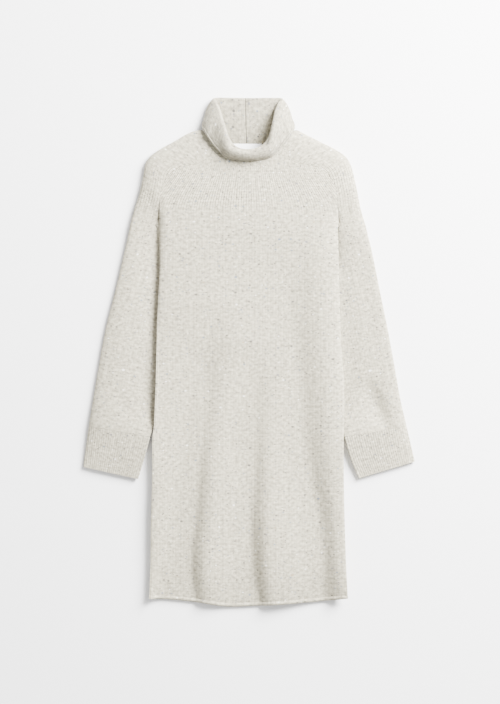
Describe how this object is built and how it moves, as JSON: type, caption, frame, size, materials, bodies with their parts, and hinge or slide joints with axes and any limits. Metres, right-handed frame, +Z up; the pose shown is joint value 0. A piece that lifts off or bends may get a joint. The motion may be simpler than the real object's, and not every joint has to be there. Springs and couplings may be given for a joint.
{
  "type": "sweater dress",
  "caption": "Knitted turtleneck sweater dress laid flat, with raglan sleeves, ribbed cuffs, a folded collar and a rolled hem.",
  "frame": {"origin": "middle of the dress's outline, on the surface that it lies on", "axes": "+X to the right as one looks at the front, +Y from the hem to the neck, +Z up, out of the front"},
  "size_m": [0.6308, 0.9663, 0.0402],
  "materials": {
    "front_wool": "soft marled knit",
    "back_wool": "soft marled knit",
    "sleeve_left_wool": "soft marled knit",
    "sleeve_right_wool": "soft marled knit",
    "cuff_left_rib": "ribbed marled knit",
    "cuff_right_rib": "ribbed marled knit",
    "collar_wool": "soft marled knit",
    "label_label": "smooth woven tape"
  },
  "bodies": {
    "root": {"front": "front_wool", "back": "back_wool", "sleeve_left": "sleeve_left_wool", "sleeve_right": "sleeve_right_wool", "cuff_left": "cuff_left_rib", "cuff_right": "cuff_right_rib", "collar": "collar_wool", "label": "label_label"}
  },
  "joints": []
}
